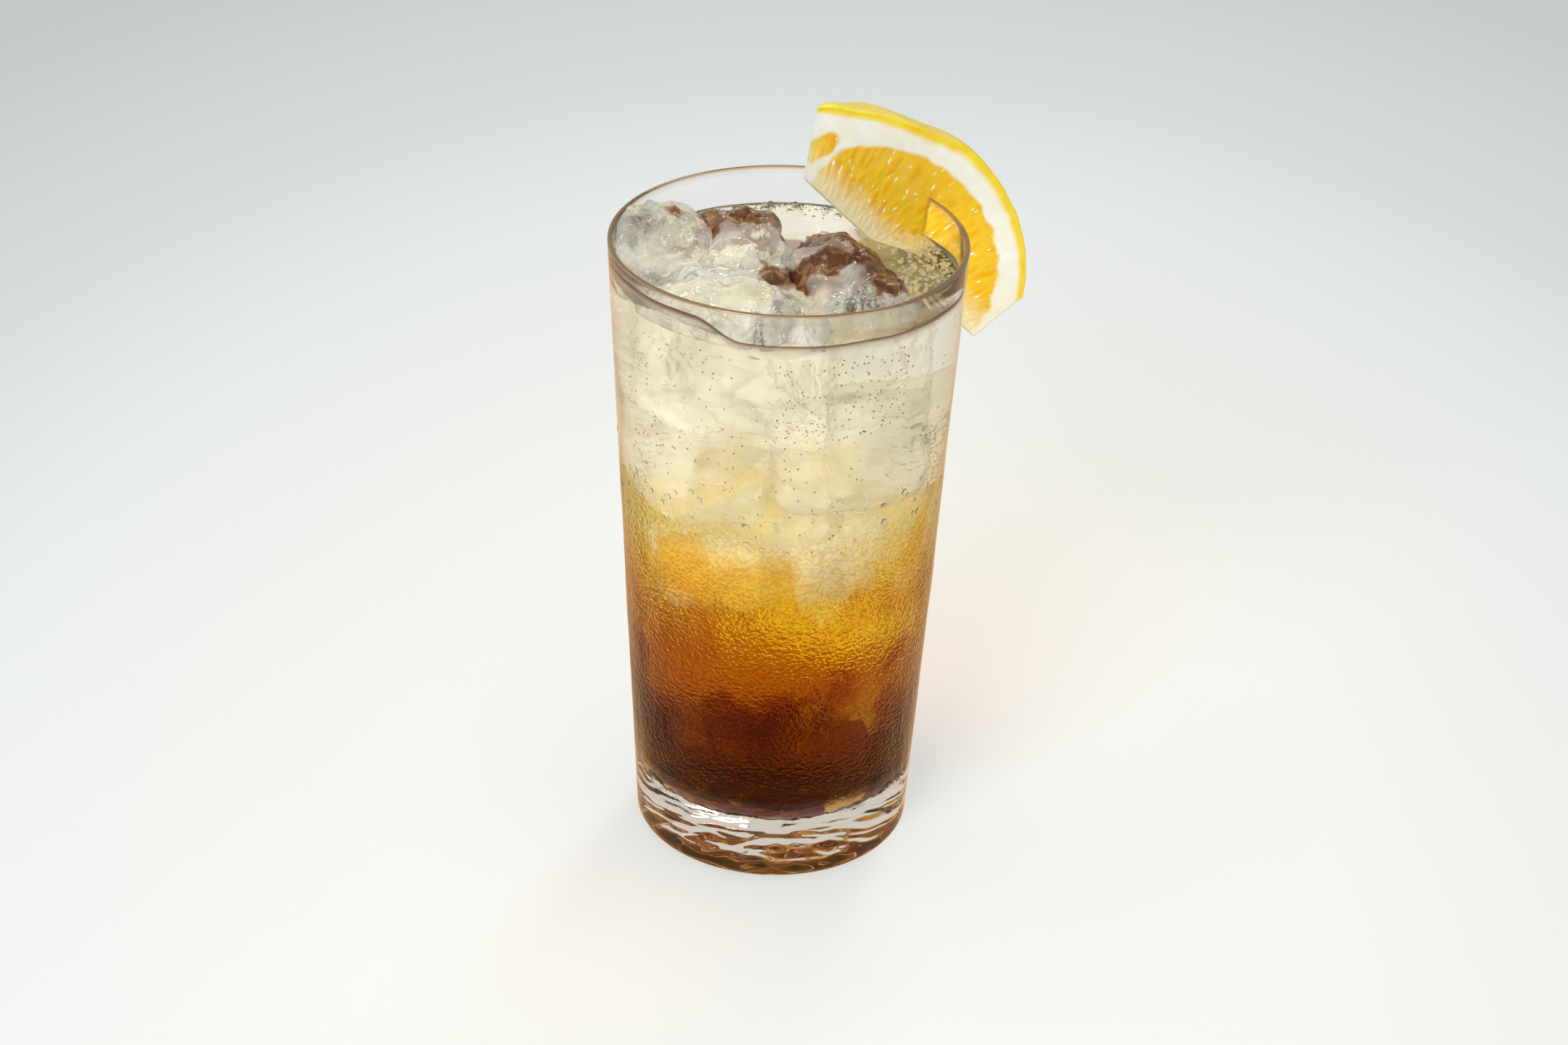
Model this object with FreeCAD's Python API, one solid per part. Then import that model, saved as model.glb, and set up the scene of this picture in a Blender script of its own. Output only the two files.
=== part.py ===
import FreeCAD, Part
import math
import os

from FreeCAD import Rotation, Vector

# A glass of sparkling cold brew coffee: a flaring tumbler with a thick clear base, cold brew that
# runs from dark coffee below to pale soda water above, chunks of ice that stand out of it, and a
# lemon wedge slit onto the rim.
# Millimetres. The origin is the centre of the underside, on the tumbler's axis; +Z is up.
# A heading is an angle about +Z, from +X towards +Y.

# --- tumbler ---
GLASS_HEIGHT = 142.0
RIM_RADIUS = 38.0            # outside, at the lip
FOOT_RADIUS = 30.5           # outside, where the straight side would meet the underside
RIM_WALL = 1.5               # wall thickness at the lip
LOWER_WALL = 2.6             # wall thickness at BOWL_TOP
BOWL_TOP = 27.0              # height where the inside starts to round in
BASE_THICKNESS = 12.5        # solid clear glass under the drink
BOWL_ROUND = 13.0            # round between the inside wall and the inside floor
HEEL_ROUND = 3.0             # round between the outside wall and the underside
LIP_ROUND = 0.7              # round on each edge of the lip

# --- drink ---
RIM_TO_DRINK = 8.5           # from the lip down to the surface of the drink
COFFEE_TOP = 46.0            # dark coffee lies below this height
AMBER_TOP = 92.0             # and mingles with the soda water up to this one

# --- ice ---
ICE_DEPTH = 22.0             # the chunks reach this far below the surface of the drink
ICE_WALL_GAP = 0.6           # between a chunk and the inside of the tumbler
CRACK = 0.8                  # gap between one chunk and the next, and before the lemon
ICE_MELT = 1.0               # radius that melting has put on the chunks' edges

# --- lemon wedge ---
LEMON_RADIUS = 30.0          # of the whole lemon, about its core
LEMON_HALF_LENGTH = 39.5     # of the whole lemon, along its core
WEDGE_ANGLE = 50.0           # between the two cut faces
CORE_TRIM = 1.2              # cut away along the core
UPPER_END_AT_CORE = -25.5    # the upper end's cut, along the core from the lemon's middle
UPPER_END_AT_RIND = -35.0
LOWER_END_AT_CORE = 33.5     # the lower end's cut
LOWER_END_AT_RIND = 34.5
UPPER_END_SLANT = 54.0       # the upper end's cut runs back under the rind at this angle
CORE_SLOPE = 46.0            # the core runs down and outwards at this angle
WEDGE_LEAN = 2.0             # the front cut face leans out over the front by this
WEDGE_HEADING = 16.0         # of the front cut face
SEAT_HEADING = 36.3          # where the front cut face meets the rim
SEAT_FROM_CORE = 17.0        # the lip reaches this far into the wedge from its core
SEAT_ALONG_CORE = 0.3        # and lies this far below the lemon's middle
SLIT_CLEARANCE = 0.2         # between the slit in the wedge and the glass

UP = Vector(0, 0, 1)
ORIGIN = Vector(0, 0, 0)
DRINK_LEVEL = GLASS_HEIGHT - RIM_TO_DRINK


def outer_radius(z):
    """Outside of the tumbler's flaring side at height z."""
    return FOOT_RADIUS + (RIM_RADIUS - FOOT_RADIUS) * z / GLASS_HEIGHT


def inner_radius(z):
    """Inside of the tumbler's wall at height z."""
    share = (z - BOWL_TOP) / (GLASS_HEIGHT - BOWL_TOP)
    return outer_radius(z) - LOWER_WALL - (RIM_WALL - LOWER_WALL) * share


def rounded_outline(corners):
    """Closed wire in the XZ plane through (x, z, round) corners, with an arc in each round one."""
    points = [Vector(x, 0, z) for x, z, _ in corners]
    turns = []
    for i, (_, _, radius) in enumerate(corners):
        here = points[i]
        if radius == 0:
            turns.append((here, None, here))
            continue
        back = (points[i - 1] - here).normalize()
        ahead = (points[(i + 1) % len(points)] - here).normalize()
        half = back.getAngle(ahead) / 2
        reach = radius / math.tan(half)
        crown = (back + ahead).normalize() * (radius / math.sin(half) - radius)
        turns.append((here + back * reach, here + crown, here + ahead * reach))
    edges = []
    for i, (start, crown, end) in enumerate(turns):
        if crown is not None:
            edges.append(Part.Arc(start, crown, end).toShape())
        edges.append(Part.LineSegment(end, turns[(i + 1) % len(turns)][0]).toShape())
    return Part.Wire(edges)


def turned(corners):
    """Solid of revolution about the tumbler's axis."""
    return Part.Face(rounded_outline(corners)).revolve(ORIGIN, UP, 360)


def tumbler():
    return turned([
        (0, 0, 0),
        (outer_radius(0), 0, HEEL_ROUND),
        (RIM_RADIUS, GLASS_HEIGHT, LIP_ROUND),
        (inner_radius(GLASS_HEIGHT), GLASS_HEIGHT, LIP_ROUND),
        (inner_radius(BASE_THICKNESS), BASE_THICKNESS, BOWL_ROUND),
        (0, BASE_THICKNESS, 0),
    ])


def inside(bottom, top, gap=0.0):
    """What fills the inside of the tumbler between two heights, up to a gap at its wall."""
    filling = turned([
        (0, BASE_THICKNESS, 0),
        (inner_radius(BASE_THICKNESS) - gap, BASE_THICKNESS, BOWL_ROUND),
        (inner_radius(GLASS_HEIGHT) - gap, GLASS_HEIGHT, 0),
        (0, GLASS_HEIGHT, 0),
    ])
    side = 2 * RIM_RADIUS
    corner = Vector(-side / 2, -side / 2, bottom)
    return filling.common(Part.makeBox(side, side, top - bottom, corner))


def facing(heading, slope):
    """Unit vector along a heading, tipped above the horizon by a slope."""
    h, s = math.radians(heading), math.radians(slope)
    return Vector(math.cos(h) * math.cos(s), math.sin(h) * math.cos(s), math.sin(s))


def beyond(point, direction):
    """A block that holds everything near the rim on the far side of a plane."""
    side = 4 * RIM_RADIUS
    block = Part.makeBox(side, side, side, Vector(-side / 2, -side / 2, 0))
    block.Placement = FreeCAD.Placement(point, Rotation(UP, direction))
    return block


def ice_chunk(middle, size, heading, chips):
    """A melting block of ice whose middle lies at (x, y, height over the drink) and whose top has
    flats chipped off it. A chip is (heading, slope, reach): the way its flat faces, and how far
    from the block's middle it lies."""
    centre = Vector(middle[0], middle[1], DRINK_LEVEL + middle[2])
    chunk = Part.makeBox(*size, Vector(*[-side / 2 for side in size]))
    chunk.Placement = FreeCAD.Placement(centre, Rotation(UP, heading))
    for chip_heading, slope, reach in chips:
        direction = facing(chip_heading, slope)
        chunk = chunk.cut(beyond(centre + direction * reach, direction))
    return chunk


# Cracks between chunks: upright planes through (x, y) that face a heading.
LEFT_CRACK = (-17.5, 5.0, 6.0)
CROSS_CRACK = (-14.0, -9.0, -78.0)
RIGHT_CRACK = (3.0, -4.0, 18.0)


def past_crack(crack, side):
    """What lies past a crack, seen from a chunk on the side its plane faces (1) or not (-1)."""
    x, y, heading = crack
    away = facing(heading, 0) * -side
    return beyond(Vector(x, y, DRINK_LEVEL) - away * (CRACK / 2), away)


# Each chunk: its middle, its size, its heading, its chips, and its side of the cracks it meets.
ICE_CHUNKS = {
    "ice_left": (
        (-27.0, 3.0, -7.0), (26.0, 34.0, 30.0), 8.0,
        [(-75.0, 58.0, 11.5), (20.0, 42.0, 15.5), (170.0, 50.0, 16.5), (110.0, 45.0, 17.5)],
        [(LEFT_CRACK, -1), (CROSS_CRACK, -1)],
    ),
    "ice_peak": (
        (-8.5, 5.0, -8.5), (26.0, 30.0, 30.0), 12.0,
        [(-60.0, 55.0, 12.5), (205.0, 48.0, 13.5), (5.0, 52.0, 13.5), (95.0, 40.0, 17.0)],
        [(LEFT_CRACK, 1), (CROSS_CRACK, -1), (RIGHT_CRACK, -1)],
    ),
    "ice_front": (
        (-10.0, -20.5, -9.0), (36.0, 28.0, 27.0), -6.0,
        [(-85.0, 66.0, 12.5), (185.0, 52.0, 18.0), (40.0, 56.0, 14.0)],
        [(CROSS_CRACK, 1), (RIGHT_CRACK, -1)],
    ),
    "ice_right": (
        (9.0, -2.0, -8.0), (22.0, 34.0, 29.0), 24.0,
        [(-70.0, 64.0, 12.5), (36.0, 40.0, 13.0), (150.0, 60.0, 13.0)],
        [(RIGHT_CRACK, 1)],
    ),
}


def placed_on_rim(wedge):
    """Carries the wedge from its own frame onto the rim. In its own frame the core is the X axis
    and the front cut face lies in XZ, with the rind at +Z and the rest of the wedge at +Y."""
    seat = facing(SEAT_HEADING, 0) * RIM_RADIUS + UP * GLASS_HEIGHT
    wedge.translate(Vector(-SEAT_ALONG_CORE, 0, -SEAT_FROM_CORE))
    wedge.rotate(ORIGIN, Vector(0, 1, 0), CORE_SLOPE)
    wedge.rotate(ORIGIN, Vector(1, 0, 0), WEDGE_LEAN)
    wedge.rotate(ORIGIN, UP, WEDGE_HEADING)
    wedge.translate(seat)
    return wedge


def rind_height(along):
    """From the core out to the rind, at a distance along the core from the lemon's middle."""
    return LEMON_RADIUS * math.sqrt(1 - (along / LEMON_HALF_LENGTH) ** 2)


def whole_wedge():
    """The wedge with its two trimmed ends, before it is slit."""
    upper_core = Vector(UPPER_END_AT_CORE, 0, CORE_TRIM)
    upper_rind = Vector(UPPER_END_AT_RIND, 0, rind_height(UPPER_END_AT_RIND))
    lower_rind = Vector(LOWER_END_AT_RIND, 0, rind_height(LOWER_END_AT_RIND))
    lower_core = Vector(LOWER_END_AT_CORE, 0, CORE_TRIM)
    crown = Vector(0, 0, LEMON_RADIUS)
    oval = Part.Ellipse(Vector(LEMON_HALF_LENGTH, 0, 0), crown, ORIGIN)
    rind = Part.ArcOfEllipse(oval, oval.parameter(lower_rind), oval.parameter(upper_rind))
    outline = Part.Wire([
        Part.LineSegment(upper_core, lower_core).toShape(),
        Part.LineSegment(lower_core, lower_rind).toShape(),
        rind.toShape(),
        Part.LineSegment(upper_rind, upper_core).toShape(),
    ])
    wedge = Part.Face(outline).revolve(ORIGIN, Vector(-1, 0, 0), WEDGE_ANGLE)
    up_the_cut = (upper_rind - upper_core).normalize()
    off_the_end = up_the_cut.cross(Vector(0, 1, 0))
    slanted = Rotation(up_the_cut, -UPPER_END_SLANT).multVec(off_the_end)
    return wedge.cut(beyond(upper_core, slanted))


def slit():
    """The ring of space that the wedge leaves free for the tumbler's wall and lip."""
    top = GLASS_HEIGHT + SLIT_CLEARANCE
    bottom = GLASS_HEIGHT - 2 * LEMON_RADIUS
    return turned([
        (inner_radius(bottom) - SLIT_CLEARANCE, bottom, 0),
        (outer_radius(bottom) + SLIT_CLEARANCE, bottom, 0),
        (outer_radius(top) + SLIT_CLEARANCE, top, 0),
        (inner_radius(top) - SLIT_CLEARANCE, top, 0),
    ])


def lemon_wedge():
    return placed_on_rim(whole_wedge()).cut(slit())


def ice(lemon):
    """The chunks, parted by their cracks, melted at the edges, and clear of wall and lemon."""
    lemon_front = facing(WEDGE_HEADING - 90.0, 0)
    room = inside(DRINK_LEVEL - ICE_DEPTH, GLASS_HEIGHT, ICE_WALL_GAP)
    room = room.cut(lemon.translated(lemon_front * CRACK))
    chunks = {}
    for name, (middle, size, heading, chips, cracks) in ICE_CHUNKS.items():
        chunk = ice_chunk(middle, size, heading, chips)
        for crack, side in cracks:
            chunk = chunk.cut(past_crack(crack, side))
        chunks[name] = chunk.makeFillet(ICE_MELT, chunk.Edges).common(room)
    return chunks


def main():
    os.makedirs("parts", exist_ok=True)
    lemon = lemon_wedge()
    chunks = ice(lemon)
    soda = inside(AMBER_TOP, DRINK_LEVEL).cut(lemon)
    for chunk in chunks.values():
        soda = soda.cut(chunk)
    nodes = {
        "glass": tumbler(),
        "coffee_layer": inside(BASE_THICKNESS, COFFEE_TOP),
        "amber_layer": inside(COFFEE_TOP, AMBER_TOP),
        "soda_layer": soda,
        "lemon_wedge": lemon,
        **chunks,
    }
    for name, shape in nodes.items():
        shape.exportStep(f"parts/{name}.step")


main()
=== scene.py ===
import math
import random

import bmesh
import bpy
from mathutils import Matrix, Vector, noise


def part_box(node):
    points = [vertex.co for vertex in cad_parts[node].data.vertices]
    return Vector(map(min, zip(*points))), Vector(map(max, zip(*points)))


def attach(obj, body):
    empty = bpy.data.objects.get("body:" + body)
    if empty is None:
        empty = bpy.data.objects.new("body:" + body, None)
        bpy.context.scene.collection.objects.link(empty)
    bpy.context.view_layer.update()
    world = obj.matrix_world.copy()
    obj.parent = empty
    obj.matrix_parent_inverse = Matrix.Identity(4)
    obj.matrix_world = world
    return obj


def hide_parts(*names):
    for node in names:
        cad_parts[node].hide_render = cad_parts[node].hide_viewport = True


# A glass of sparkling cold brew coffee: tumbler, drink, ice, bubbles, dew and a lemon wedge.
# Metres. The tumbler's axis is Z and its underside is at height 0, as in the frame.
# A heading is an angle about Z, from +X towards +Y.

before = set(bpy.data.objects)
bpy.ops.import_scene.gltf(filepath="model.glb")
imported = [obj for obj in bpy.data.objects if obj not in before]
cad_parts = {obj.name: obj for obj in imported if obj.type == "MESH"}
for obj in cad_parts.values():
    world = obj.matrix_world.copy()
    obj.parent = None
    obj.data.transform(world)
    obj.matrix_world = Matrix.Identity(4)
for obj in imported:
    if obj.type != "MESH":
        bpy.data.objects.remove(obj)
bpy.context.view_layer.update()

MM = 0.001
TURN = 2 * math.pi

# --- sizes that the frame gives ---
GLASS_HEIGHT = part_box("glass")[1].z
RIM_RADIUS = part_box("glass")[1].x
BASE_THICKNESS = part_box("coffee_layer")[0].z
DRINK_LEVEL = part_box("soda_layer")[1].z

# --- tumbler ---
FOOT_RADIUS = 30.5 * MM
RIM_WALL = 1.5 * MM
LOWER_WALL = 2.6 * MM
BOWL_TOP = 27 * MM
BOWL_ROUND = 11.05 * MM
BOWL_TAPER = 1.1 * MM         # the bowl's side comes in by this from its top to its floor
FOOT_HOLLOW = 0.35 * MM
FOOT_RING = 2.2 * MM
HEEL_ROUND = 2.1 * MM
LIP_ROUND = 0.7 * MM
LIP_TAPER = 0.4 * MM          # the wall thins by this towards the lip
GLASS_SEGMENTS = 220
GLASS_STEP = 1.2 * MM

# --- drink ---
WETTING = 0.3 * MM            # the drink's skin lies this far inside the tumbler's wall
MENISCUS_HEIGHT = 1.3 * MM    # the drink climbs the wall by this
MENISCUS_WIDTH = 2.2 * MM
ICE_LIFT = 4.2 * MM           # and by this more where a chunk leans on the wall
LIFT_FROM = math.radians(-190)
LIFT_TO = math.radians(-104)

# Each stain: its top, the colour it leaves, and how strongly it absorbs, per metre.
STAINS = (
    (67 * MM, "ffedaa", 10.0),
    (58 * MM, "fffc5e", 34.0),
    (48 * MM, "f9e293", 10.0),
    (38 * MM, "ec8a4c", 5.0),
    (29 * MM, "b87060", 13.0),
    (21 * MM, "847080", 27.0),
)
# The tone of the drink's skin at each height, in millimetres, in an evenly mixed drink.
SKIN_TONES = (
    (11, "f8c060"), (15, "b8682c"), (19, "722a14"), (29, "74290f"), (36, "8c3c18"), (41, "a45420"),
    (44, "cc8434"), (48, "f4cc48"), (62, "fcd850"), (69, "f4b838"), (77, "fbd678"), (85, "fff0c8"),
    (91, "fffae4"), (133, "fffcf0"),
)
# Chunks that lean on the wall: heading, height, half width, half height, and how far up they hold
# the colours over them down.
LEANING = (
    (-131, 59 * MM, 15 * MM, 14 * MM, 11 * MM),
    (155, 46 * MM, 20 * MM, 12 * MM, 9 * MM),
    (-73, 79 * MM, 9 * MM, 15 * MM, 16 * MM),
    (-97, 72 * MM, 11 * MM, 8 * MM, -9 * MM),
    (-122, 98 * MM, 13 * MM, 12 * MM, 9 * MM),
    (-52, 96 * MM, 12 * MM, 12 * MM, 8 * MM),
    (60, 84 * MM, 14 * MM, 14 * MM, 10 * MM),
    (140, 78 * MM, 14 * MM, 12 * MM, 9 * MM),
    (200, 88 * MM, 12 * MM, 14 * MM, 8 * MM),
    (-10, 80 * MM, 12 * MM, 12 * MM, 9 * MM),
)

# --- ice ---
CAP_DIP = 0.3 * MM            # a chunk's cap reaches this far under the surface
SUNK_GAP = 0.5 * MM           # and its sunk part begins this far under it
ICE_GRID = 0.6 * MM           # the mesh of a chunk is this fine
ICE_SWELL = 1.9 * MM          # a chunk grows by this before melting hollows it
CAP_WALL_GAP = 0.35 * MM
SUNK_WALL_GAP = 0.9 * MM

# Chunks wholly under the drink: centre and half sizes in millimetres, and how far each is turned.
SUNK = (
    ((-17, -15, 100), (15, 12, 13), 20),
    ((13, -16, 103), (14, 12, 13), -25),
    ((-14, 17, 97), (13, 11, 13), 50),
    ((17, 13, 95), (12, 12, 12), 10),
    ((9, -17, 80), (9, 9, 11), 35),
    ((-12, -14, 72), (12, 10, 8), -15),
    ((3, 14, 72), (13, 11, 10), 60),
)
# Where the ice bends the eye down to the dark coffee: brown is painted there on the ice and on the drink's
# surface, standing in for that view.
PAINTED_COFFEE_LINES = [(reach * MM, [Vector((x * MM, y * MM)) for x, y in line]) for reach, line in (
    (4.2, ((-16, 12), (-10, 15), (-1, 13), (6, 8), (13, 4), (19, -3), (22, -7))),
    (3.3, ((-3, -4), (3, -6), (9, -4))),
    (0.8, ((-25, 9), (-23, 9))),
)]

# --- lemon wedge, in its own frame: the core is X, the front cut face is XZ, the rind is at +Z ---
LEMON_RADIUS = 30 * MM
LEMON_HALF_LENGTH = 39.5 * MM
WEDGE_ANGLE = math.radians(50)
CORE_TRIM = 1.2 * MM
UPPER_END_AT_CORE = -25.5 * MM
LOWER_END_AT_CORE = 33.5 * MM
LOWER_END_AT_RIND = 34.5 * MM
UPPER_END_SLANT = math.radians(54)
UPPER_END_RISE = math.radians(53.2)
SEAT = Vector((
    RIM_RADIUS * math.cos(math.radians(36.3)),
    RIM_RADIUS * math.sin(math.radians(36.3)),
    GLASS_HEIGHT,
))
LEMON_PLACE = (
    Matrix.Translation(SEAT)
    @ Matrix.Rotation(math.radians(16), 4, "Z")
    @ Matrix.Rotation(math.radians(2), 4, "X")
    @ Matrix.Rotation(math.radians(46), 4, "Y")
    @ Matrix.Translation((-0.3 * MM, 0, -17 * MM))
)
FLESH_MIDDLE = 2.6 * MM       # the flesh on a cut face is an oval about this point on the core
FLESH_HALF_LENGTH = 30 * MM
FLESH_HEIGHT = 23.7 * MM
NEXT_SEGMENT = (-27.6 * MM, 8.2 * MM, 2.7 * MM, 5.2 * MM)    # centre and half sizes of its end
ZEST_DEPTH = 1.9 * MM
RIND_FLAT = 2.2 * MM


def smooth(low, high, value):
    """0 below low, 1 above high, and an S-curve between them."""
    share = min(max((value - low) / (high - low), 0.0), 1.0)
    return share * share * (3 - 2 * share)


def mix(a, b, share):
    return a + (b - a) * share


def linear(colour):
    """sRGB hex to linear RGBA."""
    channels = [int(colour[i:i + 2], 16) / 255 for i in (0, 2, 4)]
    curve = [c / 12.92 if c <= 0.04045 else ((c + 0.055) / 1.055) ** 2.4 for c in channels]
    return (*curve, 1.0)


# ---------------------------------------------------------------- meshes

def outer_radius(z):
    return mix(FOOT_RADIUS, RIM_RADIUS, z / GLASS_HEIGHT)


def inner_radius(z):
    wall = mix(LOWER_WALL, RIM_WALL, (z - BOWL_TOP) / (GLASS_HEIGHT - BOWL_TOP))
    return outer_radius(z) - wall


def on_axis(radius, heading, z):
    return Vector((radius * math.cos(heading), radius * math.sin(heading), z))


def piece_of(name, bm, material):
    """Turns a bmesh into a piece that rides on the part."""
    bmesh.ops.recalc_face_normals(bm, faces=bm.faces)
    mesh = bpy.data.meshes.new(name)
    bm.to_mesh(mesh)
    bm.free()
    mesh.shade_smooth()
    piece = bpy.data.objects.new(name, mesh)
    bpy.context.scene.collection.objects.link(piece)
    mesh.materials.append(material)
    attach(piece, "root")
    return piece


def rounded_run(corners, step):
    """Points about a step apart along straight runs through (radius, height, round) corners."""
    ends = [Vector((r, z)) for r, z, _ in corners]
    points = [ends[0]]
    for i in range(1, len(corners)):
        here = ends[i]
        radius = corners[i][2]
        arc = []
        if radius:
            back = (ends[i - 1] - here).normalized()
            on = (ends[i + 1] - here).normalized()
            half = back.angle(on) / 2
            reach = radius / math.tan(half)
            middle = here + (back + on).normalized() * radius / math.sin(half)
            start = here + back * reach - middle
            stop = here + on * reach - middle
            count = max(5, round(radius * start.angle(stop) / step))
            for k in range(count + 1):
                share = k / count
                spoke = start.slerp(stop, share)
                arc.append(middle + spoke.normalized() * radius)
        else:
            arc = [here]
        run = arc[0] - points[-1]
        count = max(1, round(run.length / step))
        points += [points[-1] + run * k / count for k in range(1, count)]
        points += arc
    return points


def turned(outline, segments, place):
    """A closed solid turned about the axis from an outline of (radius, z) that starts and ends on
    it. place(radius, heading, z, share) gives each point, share being how far along the outline."""
    bm = bmesh.new()
    rings = []
    for i, (radius, z) in enumerate(outline):
        share = i / (len(outline) - 1)
        if radius < 1e-6:
            rings.append([bm.verts.new(place(0.0, 0.0, z, share))])
        else:
            rings.append([
                bm.verts.new(place(radius, TURN * k / segments, z, share))
                for k in range(segments)
            ])
    for low, high in zip(rings, rings[1:]):
        for k in range(segments):
            n = (k + 1) % segments
            corners = [low[k % len(low)], low[n % len(low)], high[n % len(high)], high[k % len(high)]]
            bm.faces.new(list(dict.fromkeys(corners)))
    return bm


def ripple(heading, z, across, along, seed):
    """Smooth unevenness from -1 to 1 round a wall, with waves of the given width and height."""
    radius = RIM_RADIUS / across
    at = Vector((math.cos(heading) * radius, math.sin(heading) * radius, z / along + seed))
    return noise.noise(at)


def from_axis(radius):
    """0 near the axis and 1 at the wall."""
    return smooth(0.3, 0.9, radius / FOOT_RADIUS)


def inner_wave(heading, radius, z):
    """How far the inside of the wall stands out where it is uneven, less so towards the lip."""
    wave = 0.12 * MM * ripple(heading, z, 12 * MM, 30 * MM, 12.4) * (1 - z / GLASS_HEIGHT)
    return wave * from_axis(radius)


def tumbler(material):
    """Soda-lime tumbler, blown into a mould: its sides are a little uneven low down, where the
    gather was thickest, and even at the polished lip."""
    outline = rounded_run([
        (0, FOOT_HOLLOW, 0),
        (FOOT_RADIUS * 0.55, FOOT_HOLLOW, 0),
        (FOOT_RADIUS - FOOT_RING, 0, 0),
        (FOOT_RADIUS, 0, HEEL_ROUND),
        (outer_radius(GLASS_HEIGHT), GLASS_HEIGHT, LIP_ROUND),
        (inner_radius(GLASS_HEIGHT), GLASS_HEIGHT, LIP_ROUND),
        (inner_radius(BOWL_TOP), BOWL_TOP, 0),
        (inner_radius(BOWL_TOP) - BOWL_TAPER, BASE_THICKNESS, BOWL_ROUND),
        (0, BASE_THICKNESS, 0),
    ], GLASS_STEP)
    lip = max(range(len(outline)), key=lambda i: outline[i].y)

    def place(radius, heading, z, share):
        outside = share <= lip / (len(outline) - 1)
        height = z / GLASS_HEIGHT
        body = smooth(0.02, 0.12, height) * (1 - smooth(0.55, 0.9, height))
        if outside:
            z += underside(heading, radius) * (1 - smooth(0.0, 0.01, height))
            push = 0.24 * MM * body * ripple(heading, z, 9 * MM, 26 * MM, 3.1)
            push += 0.10 * MM * body * ripple(heading, z, 4 * MM, 9 * MM, 7.7)
            push *= from_axis(radius)
        else:
            push = inner_wave(heading, radius, z)
            z += bowl_floor(heading, radius, z)
        inset = (outer_radius(z) - radius) / RIM_WALL
        push += LIP_TAPER * inset * smooth(GLASS_HEIGHT - 5 * MM, GLASS_HEIGHT, z)
        return on_axis(radius + push, heading, z)

    bm = turned(outline, GLASS_SEGMENTS, place)
    dew = bm.verts.layers.float.new("dew")
    beads = bm.verts.layers.float.new("beads")
    wet = bm.verts.layers.float.new("wet")
    painted_lip_layer = bm.verts.layers.float.new("lip")
    for v in bm.verts:
        radius = v.co.xy.length
        heading = math.atan2(v.co.y, v.co.x)
        outside = radius > (outer_radius(v.co.z) + inner_radius(v.co.z)) / 2 and v.co.z > 2 * MM
        line = dew_line(heading)
        v[dew] = outside * (1 - smooth(0.92, 0.975, v.co.z / DRINK_LEVEL))
        v[beads] = outside * (1 - smooth(line - 9 * MM, line + 1 * MM, v.co.z))
        v[beads] *= smooth(14 * MM, 26 * MM, v.co.z)
        # painted light: marks the top of the lip, where brown is painted for the coffee light piped up the
        # wall
        v[painted_lip_layer] = smooth(GLASS_HEIGHT - 0.9 * MM, GLASS_HEIGHT - 0.1 * MM, v.co.z)
        v[wet] = not outside and BASE_THICKNESS - 2 * MM < v.co.z < DRINK_LEVEL
    piece = piece_of("tumbler", bm, material)
    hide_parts("glass")


def bowl_floor(heading, radius, z):
    """The bowl's floor is left wavy by the plunger."""
    at = on_axis(radius, heading, 0) / (6 * MM) + Vector((0, 0, 21))
    fine = on_axis(radius, heading, 0) / (3.0 * MM) + Vector((0, 0, 4))
    low = 1 - smooth(0.1, 0.25, z / GLASS_HEIGHT)
    calm = 1 - 0.75 * smooth(0.55, 0.85, radius / FOOT_RADIUS)
    still = 1 - 0.85 * smooth(0.78, 0.88, radius / FOOT_RADIUS)
    return low * (1.5 * MM * calm * noise.noise(at) + 0.8 * MM * still * noise.noise(fine))


def underside(heading, radius):
    """The foot's underside is slightly hollow and uneven; its ring stands flat."""
    at = on_axis(radius, heading, 0) / (7 * MM) + Vector((0, 0, 33))
    inner = 1 - smooth(0.7, 0.9, radius / FOOT_RADIUS)
    fine = on_axis(radius, heading, 0) / (2.8 * MM) + Vector((0, 0, 9))
    return inner * (1.0 * MM + 0.9 * MM * noise.noise(at) + 0.4 * MM * noise.noise(fine))


def dew_line(heading):
    """Height where the fine dew on the outside gathers into beads, round the tumbler."""
    return 93 * MM + 5 * MM * ripple(heading, 0, 34 * MM, 1, 5.2) + 1.5 * MM * math.sin(5 * heading)


def drink_lift(heading):
    """How far above its level the drink stands at the wall."""
    wrapped = heading - TURN if heading > 0 else heading
    leaning = smooth(LIFT_FROM, LIFT_FROM + 0.5, wrapped) * (1 - smooth(LIFT_TO - 0.28, LIFT_TO, wrapped))
    wave = 0.35 * MM * ripple(heading, 0, 11 * MM, 1, 8.8)
    flat = 1 - 0.8 * smooth(0.1, 0.6, math.sin(heading))
    return flat * (MENISCUS_HEIGHT + wave) + ICE_LIFT * leaning


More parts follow.
